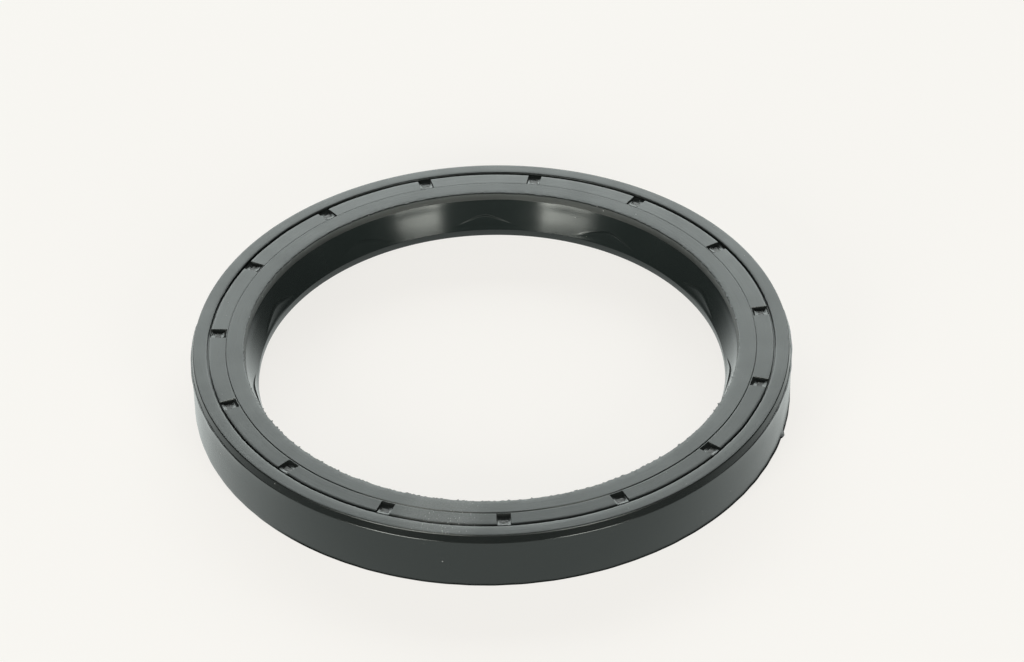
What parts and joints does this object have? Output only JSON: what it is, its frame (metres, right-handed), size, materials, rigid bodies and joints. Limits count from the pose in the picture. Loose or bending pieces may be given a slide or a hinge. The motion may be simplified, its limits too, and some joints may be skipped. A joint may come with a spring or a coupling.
{
  "type": "radial shaft seal",
  "caption": "Rubber-covered rotary shaft lip seal with a moulded-in steel case, a garter spring and wave-form pumping pads on the lip.",
  "frame": {"origin": "centre of the oil-side face, on the shaft's axis, where the seal stands", "axes": "+Z along the shaft's axis from the oil side to the air side; a support pocket lies 7.66 degrees from +X towards +Y"},
  "size_m": [0.095, 0.095, 0.01],
  "materials": {
    "rubber": "moulded black nitrile rubber, satin, smoother in the bore",
    "case_steel": "phosphated deep-drawn sheet steel, dull grey",
    "spring_steel": "drawn spring wire, bright"
  },
  "bodies": {
    "root": {"rubber_ring": "rubber", "steel_case": "case_steel", "garter_spring": "spring_steel"}
  },
  "joints": []
}
